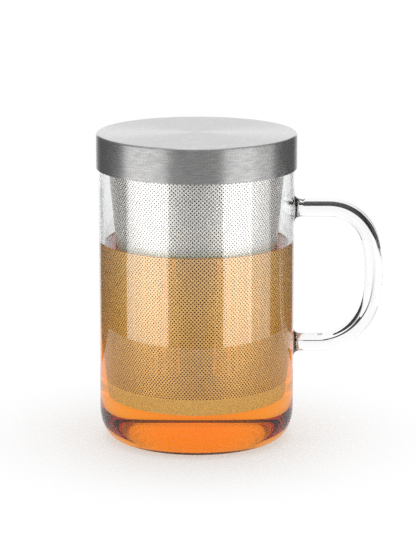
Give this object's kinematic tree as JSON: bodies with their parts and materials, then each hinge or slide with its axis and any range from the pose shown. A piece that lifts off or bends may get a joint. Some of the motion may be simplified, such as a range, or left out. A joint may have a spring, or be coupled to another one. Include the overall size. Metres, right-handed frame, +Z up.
{
  "type": "lidded tea mug with infuser",
  "caption": "Straight clear glass mug with a fused rod handle, a tapered steel tea basket that hangs on its rim, and a brushed steel cap lid that lifts off.",
  "frame": {"origin": "on the mug's axis, on the plane it stands on", "axes": "+Z up along the mug's axis, +X towards the handle"},
  "size_m": [0.1248, 0.087, 0.135],
  "materials": {
    "mug_glass": "clear borosilicate",
    "basket_steel": "satin sheet etched with fine round holes",
    "lid_steel": "top spun, skirt brushed round",
    "liner_steel": "plain satin sheet",
    "seal_silicone": "matt translucent silicone",
    "tea": "clear orange black tea"
  },
  "bodies": {
    "mug": {"glass_body": "mug_glass", "glass_handle": "mug_glass"},
    "infuser": {"infuser_wall": "basket_steel", "infuser_floor": "basket_steel", "infuser_collar": "basket_steel"},
    "lid": {"lid_shell": "lid_steel", "lid_liner": "liner_steel", "lid_seal": "seal_silicone"}
  },
  "joints": [
    {"name": "infuser_lift", "type": "slide", "parent": "mug", "child": "infuser", "axis": [0, 0, 1], "range_m": [0, 0.125]},
    {"name": "lid_lift", "type": "slide", "parent": "infuser", "child": "lid", "axis": [0, 0, 1], "range_m": [0, 0.06]}
  ]
}
